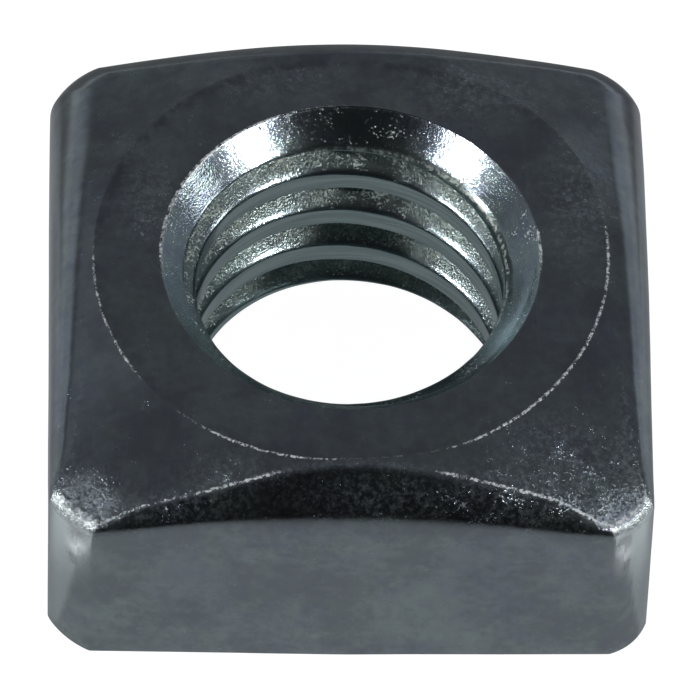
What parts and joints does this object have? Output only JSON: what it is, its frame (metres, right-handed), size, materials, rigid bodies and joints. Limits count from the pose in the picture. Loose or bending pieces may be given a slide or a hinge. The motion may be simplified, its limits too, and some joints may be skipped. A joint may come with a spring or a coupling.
{
  "type": "square nut",
  "caption": "Square nut with a threaded bore, countersunk at both ends, a chamfered crown above and a flat bearing face below.",
  "frame": {"origin": "centre of the flat bearing face, on the thread axis", "axes": "+Z along the thread axis, from the bearing face to the crown. +X and +Y square to the flats"},
  "size_m": [0.01, 0.01, 0.0044],
  "materials": {
    "zinc_plate": "bright zinc plate on cold-formed steel, slightly mottled, with fine pits"
  },
  "bodies": {
    "root": {"square_nut": "zinc_plate"}
  },
  "joints": []
}
